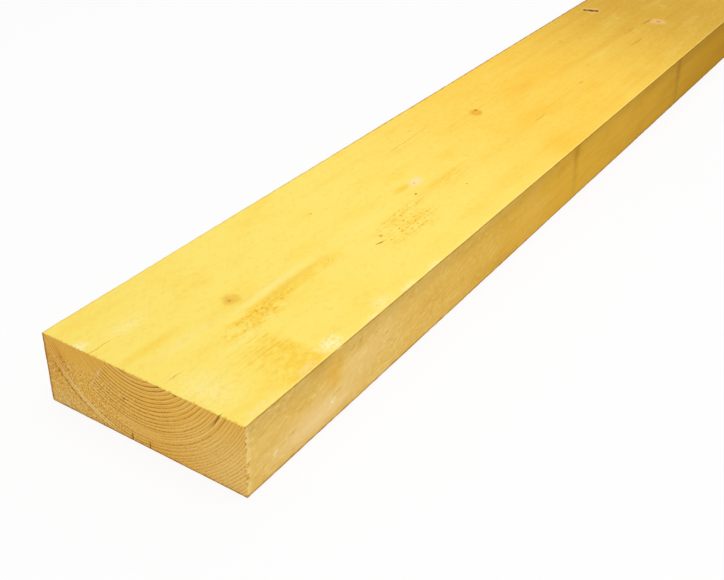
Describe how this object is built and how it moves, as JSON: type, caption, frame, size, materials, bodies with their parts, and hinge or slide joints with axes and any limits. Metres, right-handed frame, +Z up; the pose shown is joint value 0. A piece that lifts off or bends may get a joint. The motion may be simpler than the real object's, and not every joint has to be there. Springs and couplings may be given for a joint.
{
  "type": "timber plank",
  "caption": "Long rectangular plank of sawn softwood with yellow-stained faces, eased arrises, drying cracks in its end and a dead knot, for building and formwork.",
  "frame": {"origin": "middle of the underside of the plank, on the surface that it lies on", "axes": "+X across the width, +Y along the length away from the end with the drying cracks, +Z up through the thickness"},
  "size_m": [0.225, 3, 0.075],
  "materials": {
    "stained_softwood": "sawn, yellow treatment stain, matt"
  },
  "bodies": {
    "root": {"plank": "stained_softwood"}
  },
  "joints": []
}
